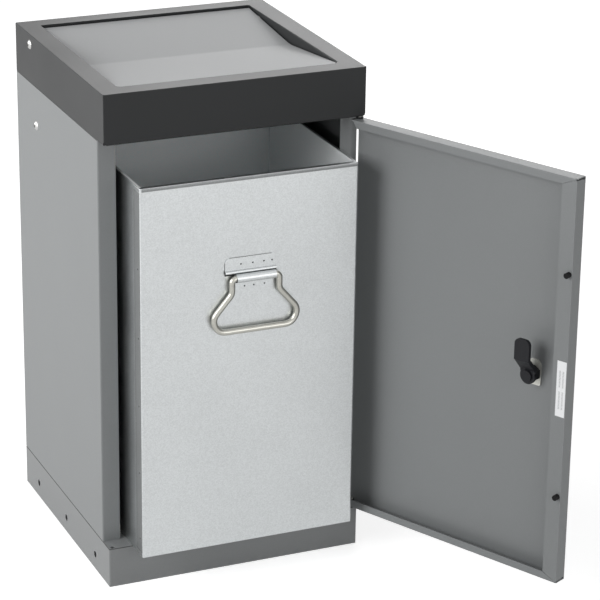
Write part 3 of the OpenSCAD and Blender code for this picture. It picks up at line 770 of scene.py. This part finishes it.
def mark_inside(piece):
    """Face mask of the surfaces that face the piece's own middle, which the zinc makes
    duller and, as painted light, paler.
    """
    mesh = piece.data
    corners = [Vector(corner) for corner in piece.bound_box]
    middle = sum(corners, Vector()) / len(corners)
    inside = mesh.attributes.new("inside", "FLOAT", "FACE").data
    for polygon in mesh.polygons:
        away = polygon.center - middle
        away.z = 0.0
        inside[polygon.index].value = float(polygon.normal.dot(away) < 0)


def new_piece(context, name, bm, node, finish=None):
    """Piece from a bmesh, riding with a CAD node and of its slot."""
    mesh = bpy.data.meshes.new(name)
    bm.to_mesh(mesh)
    bm.free()
    mesh.materials.append(finish or material_for(context, SLOT_OF[node]))
    piece = bpy.data.objects.new(name, mesh)
    context.scene.collection.objects.link(piece)
    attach(piece, BODY_OF[node])
    return piece


def sweep(bm, outline, start, end):
    """Closed prism between two places of one outline."""
    rings = [[bm.verts.new(point + shift) for point in outline] for shift in (start, end)]
    count = len(outline)
    for i in range(count):
        j = (i + 1) % count
        bm.faces.new((rings[0][i], rings[0][j], rings[1][j], rings[1][i]))
    for ring in rings:
        bm.faces.new(ring)
    bmesh.ops.recalc_face_normals(bm, faces=bm.faces)


# Pieces


class BIN_OT_cabinet(Operator):
    """Plinth, body shell, frame and floor guides in softened sheet"""

    bl_idname = "cabinet_bin.cabinet"
    bl_label = "Cabinet"

    def execute(self, context):
        edges = context.scene.bin_edges
        lowest, highest = corners_of("body_shell")
        low, high, half = lowest.z, highest.z, highest.x

        def joint(edge):
            """Rounds the outer edges at a joint and leaves the hidden ones."""
            if not (at_level(edge, low) or at_level(edge, high)):
                return None
            outside = all(self.on_outline(vertex.co, half) for vertex in edge.verts)
            return edges.seam if outside else 0.0

        # the roundings at these seams get painted shade in the coat
        soften(context, "base_plinth", "plinth", special=joint, seams=(low,))
        soften(context, "body_shell", "body", special=joint, seams=(low, high))
        soften(
            context, "top_frame", "frame", edges.frame_fold, special=joint, seams=(high,))
        soften(context, "guide_left", "left_guide")
        soften(context, "guide_right", "right_guide")
        return {"FINISHED"}

    def on_outline(self, at, half):
        """True on the square outline with its rounded corners, false inside it."""
        side_slack, corner_slack = 0.1 * MM, 0.7 * MM
        on_side = max(abs(at.x), abs(at.y)) > half - side_slack
        return on_side or math.hypot(at.x, at.y) > (half - corner_slack) * math.sqrt(2)


class BIN_OT_fasteners(Operator):
    """Bolts, nuts, spacers and hinge pins of the cabinet"""

    bl_idname = "cabinet_bin.fasteners"
    bl_label = "Fasteners"

    def execute(self, context):
        dress(
            context, "lower_hinge_pin", "upper_hinge_pin", "plinth_bolts", "plinth_nuts",
            "frame_bolts", "frame_nuts", "side_bolts", "side_spacers", "side_nuts",
            "flap_pivot_bolts", "flap_spacers", "flap_nuts",
        )
        return {"FINISHED"}


class BIN_OT_flap(Operator):
    """Throw-in flap with its bushes, springs and stop bar"""

    bl_idname = "cabinet_bin.flap"
    bl_label = "Flap"

    def execute(self, context):
        soften(context, "flap_panel", "flap", context.scene.bin_edges.flap_fold)
        dress(context, "flap_bushes", "flap_springs", "flap_stop_bar")
        return {"FINISHED"}


class BIN_OT_door(Operator):
    """Door tray with its bushes, buffers and blank label"""

    bl_idname = "cabinet_bin.door"
    bl_label = "Door"

    def execute(self, context):
        soften(context, "door_panel", "door", context.scene.bin_edges.door_fold)
        dress(context, "lower_hinge_bush", "upper_hinge_bush", "door_buffers")
        self.label(context)
        return {"FINISHED"}

    def label(self, context):
        """Copy of the label's film with the map that its rules need."""
        bm = bmesh.new()
        bm.from_mesh(NODES["door_label"].data)
        widest = max(bm.faces, key=lambda face: face.calc_area())
        along = Vector((0, 0, 1)).cross(widest.normal).normalized()
        across = [vertex.co.dot(along) for vertex in bm.verts]
        up = [vertex.co.z for vertex in bm.verts]
        layer = bm.loops.layers.uv.new(LABEL_MAP)
        for face in bm.faces:
            for loop in face.loops:
                at = loop.vert.co
                loop[layer].uv = (
                    (at.dot(along) - min(across)) / (max(across) - min(across)),
                    (at.z - min(up)) / (max(up) - min(up)),
                )
        piece = new_piece(context, "label", bm, "door_label")
        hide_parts("door_label")


class BIN_OT_lock(Operator):
    """Cylinder lock with its plate, nut and cam"""

    bl_idname = "cabinet_bin.lock"
    bl_label = "Lock"

    def execute(self, context):
        dress(context, "lock_housing", "lock_nut", "key_plug", "lock_cam", "cam_screw")
        pressed = zinc(
            "Pressed plate", context.scene.bin_metal.zinc,
            size=0.6 * MM, contrast=0.1, roughness=0.6,
        )
        dress(context, "lock_plate", finish=pressed)
        return {"FINISHED"}


class BIN_OT_container(Operator):
    """Galvanised container with its base, flanges, spot welds, hem and weld bead"""

    bl_idname = "cabinet_bin.container"
    bl_label = "Container"

    def execute(self, context):
        edges = context.scene.bin_edges
        low, high = corners_of("container_shell")

        def rim(edge):
            return edges.rim if at_level(edge, high.z) else None

        shell = soften(context, "container_shell", "container", edges.sheet_fold, rim)
        mark_inside(shell)
        base = soften(context, "container_base", "container_floor", edges.sheet_fold, rim)
        mark_inside(base)
        self.flanges(context, low, high)
        self.hem(context, low, high)
        self.bead(context, high)
        return {"FINISHED"}

    def flanges(self, context, low, high):
        """Flanges of the front sheet on both sides, each with a row of spot welds; their
        sheet is darkened as painted shade.
        """
        given = context.scene.bin_welds
        setback, trimmed, free_above = 2.2 * MM, 12 * MM, 30 * MM
        front = low.y + setback
        size = Vector((2 * given.step, given.overlap, high.z - low.z - trimmed))
        bm = bmesh.new()
        burnt = bm.faces.layers.float.new("cut")  # bare steel, as on a cut edge
        for wall, outward in ((low.x, -1), (high.x, 1)):
            turn = Matrix.Rotation(math.radians(90) * outward, 4, "Y")
            middle = Vector((wall, front + given.overlap / 2, (low.z + high.z) / 2))
            for vertex in bmesh.ops.create_cube(bm, size=1.0)["verts"]:
                vertex.co = Vector(a * b for a, b in zip(vertex.co, size)) + middle
            height = low.z + given.lowest
            while height < high.z - free_above:
                at = Vector((wall + outward * given.step, front + given.row, height))
                self.weld(bm, Matrix.Translation(at) @ turn, given, burnt)
                height += given.pitch
        bmesh.ops.recalc_face_normals(bm, faces=bm.faces)
        # painted shade: the flanges get the galvanised sheet at under half its
        # brightness, because the container's side lies in the cabinet's shadow
        finish = sheet_zinc(context, "Lap sheet", roughness=0.5, tone=0.43, bare_edge_and_painted_shade=0.8)
        new_piece(context, "front_overlaps", bm, "container_shell", finish)

    def weld(self, bm, at, given, burnt):
        """Shallow ring with a burnt dent in its middle, closed inside the flange."""
        sides, root = 16, -0.3 * MM
        profile = (  # share of the radius and height above the flange
            (1.0, root), (1.0, 0.0), (0.82, given.rise), (0.56, given.rise),
            (0.3, given.rise - given.dent),
        )
        angles = [math.tau * i / sides for i in range(sides)]
        rings = []
        for share, height in profile:
            radius = share * given.radius
            ring = [(radius * math.cos(a), radius * math.sin(a), height) for a in angles]
            rings.append([bm.verts.new(at @ Vector(point)) for point in ring])
        for outer, inner in zip(rings, rings[1:]):
            for i in range(sides):
                j = (i + 1) % sides
                face = bm.faces.new((outer[i], outer[j], inner[j], inner[i]))
                face[burnt] = float(inner is rings[-1])
        for end in (rings[0], rings[-1]):
            bm.faces.new(end)[burnt] = 1.0

    def hem(self, context, low, high):
        """Flattened hem along the front's upper edge, in a darker copy of the sheet as
        painted shade.
        """
        given = context.scene.bin_welds
        below_rim, left_gap, right_gap = 0.4 * MM, 2.5 * MM, 1.0 * MM
        section = (  # shares of the hem's thickness and height, from its upper edge
            (0.2, 0.0), (-0.6, -0.05), (-1.0, -0.2), (-0.8, -0.75), (-0.35, -0.95),
            (0.2, -1.0),
        )
        outline = [
            Vector((0, low.y + a * given.hem_proud, high.z - below_rim + b * given.hem))
            for a, b in section
        ]
        bm = bmesh.new()
        ends = Vector((low.x + left_gap, 0, 0)), Vector((high.x - right_gap, 0, 0))
        sweep(bm, outline, *ends)
        # painted shade: the hem's sheet is darkened to under half, standing in for the
        # dark band below the rim
        finish = sheet_zinc(context, "Hem sheet", roughness=0.4, tone=0.42)
        new_piece(context, "front_hem", bm, "container_shell", finish)

    def bead(self, context, high):
        """Weld bead down the inner corner at the back right."""
        given = context.scene.bin_welds
        sheet, root_share, below_rim, tone = 1.0 * MM, 0.4, 7 * MM, 1.35
        right, back = high.x - sheet, high.y - sheet
        first, last, turn = 170, 280, 22  # degrees round the bead's free side
        angles = [math.radians(degrees) for degrees in range(first, last + 1, turn)]
        outline = [
            Vector((right + given.bead * math.cos(a), back + given.bead * math.sin(a), 0))
            for a in angles
        ]
        root = root_share * sheet
        outline.append(Vector((high.x - root, high.y - root, 0)))
        bm = bmesh.new()
        ends = Vector((0, 0, high.z - given.bead_end)), Vector((0, 0, high.z - below_rim))
        sweep(bm, outline, *ends)
        finish = zinc(
            "Weld bead", [tone * part for part in context.scene.bin_metal.sheet],
            size=0.8 * MM, contrast=0.1, roughness=0.6,
        )
        new_piece(context, "corner_bead", bm, "container_shell", finish)


class BIN_OT_handle(Operator):
    """Bracket and bail on the container's front"""

    bl_idname = "cabinet_bin.handle"
    bl_label = "Handle"

    def execute(self, context):
        fold = context.scene.bin_edges.sheet_fold
        # the bracket's cut edges are bare steel darkened nearly to black and its folds
        # are darkened too: partly bare steel, partly painted shade along its outline
        finish = sheet_zinc(context, "Bracket sheet", roughness=0.42, bare_edge_and_painted_shade=0.95)
        soften(context, "handle_bracket", "bracket", fold, finish=finish)
        dress(context, "bail")
        return {"FINISHED"}


# Stage


def area_lamp(context, name, at, towards, size, power):
    """Rectangular soft lamp that points at a place."""
    lamp = bpy.data.lights.new(name, "AREA")
    lamp.shape = "RECTANGLE"
    lamp.size, lamp.size_y = size
    lamp.energy = power
    holder = bpy.data.objects.new(name, lamp)
    context.scene.collection.objects.link(holder)
    holder.location = at
    holder.rotation_mode = "QUATERNION"
    holder.rotation_quaternion = (Vector(towards) - Vector(at)).to_track_quat("-Z", "Y")


class BIN_OT_stage(Operator):
    """Pale floor, white surroundings, soft lamps and the camera"""

    bl_idname = "cabinet_bin.stage"
    bl_label = "Stage"

    def execute(self, context):
        given = context.scene.bin_stage
        context.scene.view_settings.view_transform = "Standard"
        self.floor(context, given)
        self.world(context, given.ambient)
        for name, at, towards, size, power in LAMPS:
            area_lamp(context, name, at, towards, size, getattr(given, power))
        self.camera(context, given)
        return {"FINISHED"}

    def camera(self, context, given):
        """Camera at the photo's viewing angle."""
        camera = bpy.data.cameras.new("Camera")
        camera.lens = given.lens
        camera.sensor_width = SENSOR_WIDTH
        camera.clip_end = CAMERA_REACH
        holder = bpy.data.objects.new("Camera", camera)
        context.scene.collection.objects.link(holder)
        yaw, pitch, roll = given.yaw, given.pitch, given.roll
        level = math.cos(pitch)
        back = Vector((level * math.sin(yaw), -level * math.cos(yaw), math.sin(pitch)))
        right = Vector((0, 0, 1)).cross(back).normalized()
        up = back.cross(right)
        c, s = math.cos(roll), math.sin(roll)
        right, up = c * right + s * up, c * up - s * right
        turn = Matrix((right, up, back)).transposed().to_4x4()
        holder.matrix_world = Matrix.Translation(given.camera_at) @ turn
        context.scene.camera = holder

    def floor(self, context, given):
        """Pale matt floor that the camera and glossy parts see brighter."""
        bm = bmesh.new()
        bmesh.ops.create_grid(bm, x_segments=1, y_segments=1, size=FLOOR_HALF)
        mesh = bpy.data.meshes.new("Floor")
        bm.to_mesh(mesh)
        bm.free()
        floor = bpy.data.objects.new("Floor", mesh)
        context.scene.collection.objects.link(floor)
        material = bpy.data.materials.new("Pale floor")
        material.use_nodes = True
        tree = material.node_tree
        tree.nodes.clear()
        matt = place(tree, "ShaderNodeBsdfDiffuse", {"Color": FLOOR_COLOUR})
        glow = {"Color": WHITE, "Strength": self.lift(tree, given)}
        lift = place(tree, "ShaderNodeEmission", glow)
        layers = {0: matt.outputs[0], 1: lift.outputs[0]}
        both = place(tree, "ShaderNodeAddShader", layers)
        place(tree, "ShaderNodeOutputMaterial", {"Surface": both.outputs[0]})
        mesh.materials.append(material)

    def lift(self, tree, given):
        """Brightness added to the floor: most for the camera, less in what glossy parts
        mirror, none under the plinth."""
        half = corners_of("base_plinth")[1].x
        path = place(tree, "ShaderNodeLightPath").outputs
        seen = times(tree, path["Is Camera Ray"], given.floor_seen)
        mirrored = times(tree, path["Is Glossy Ray"], given.floor_mirrored)
        spot = place_on_object(tree)
        x, y, _ = place(tree, "ShaderNodeSeparateXYZ", {0: spot}).outputs
        under_x = maths(tree, "COMPARE", x, 0.0, half)
        under_y = maths(tree, "COMPARE", y, 0.0, half)
        clear = minus(tree, 1.0, times(tree, under_x, under_y))
        return times(tree, plus(tree, seen, mirrored), clear)

    def world(self, context, ambient):
        """White for rays from the camera, from gloss and through glass; an even dim light
        for all that falls on things."""
        world = bpy.data.worlds.new("Surroundings")
        context.scene.world = world
        world.use_nodes = True
        tree = world.node_tree
        tree.nodes.clear()
        path = place(tree, "ShaderNodeLightPath").outputs
        direct = maths(tree, "MAXIMUM", path["Is Camera Ray"], path["Is Glossy Ray"])
        direct = maths(tree, "MAXIMUM", direct, path["Is Transmission Ray"])
        strength = plus(tree, ambient, times(tree, direct, 1.0 - ambient))
        sky = place(tree, "ShaderNodeBackground", {"Color": WHITE, "Strength": strength})
        place(tree, "ShaderNodeOutputWorld", {"Surface": sky.outputs[0]})


OPERATORS = (
    BIN_OT_cabinet, BIN_OT_fasteners, BIN_OT_flap, BIN_OT_door, BIN_OT_lock,
    BIN_OT_container, BIN_OT_handle, BIN_OT_stage,
)


class BIN_PT_sidebar(Panel):
    """Lists the bin's operators and settings"""

    bl_idname = "BIN_PT_sidebar"
    bl_label = "Cabinet bin"
    bl_space_type = "VIEW_3D"
    bl_region_type = "UI"
    bl_category = "Cabinet bin"

    def draw(self, context):
        for operator in OPERATORS:
            self.layout.operator(operator.bl_idname)
        for name, group in SETTINGS.items():
            box = self.layout.box()
            for setting in group.__annotations__:
                box.prop(getattr(context.scene, name), setting)


CLASSES = (*SETTINGS.values(), *OPERATORS, BIN_PT_sidebar)


def register():
    for cls in CLASSES:
        bpy.utils.register_class(cls)
    for name, group in SETTINGS.items():
        setattr(bpy.types.Scene, name, PointerProperty(type=group))


def unregister():
    for name in SETTINGS:
        delattr(bpy.types.Scene, name)
    for cls in reversed(CLASSES):
        bpy.utils.unregister_class(cls)


def main():
    register()
    for operator in OPERATORS:
        group, name = operator.bl_idname.split(".")
        getattr(getattr(bpy.ops, group), name)()


if __name__ == "__main__":
    main()
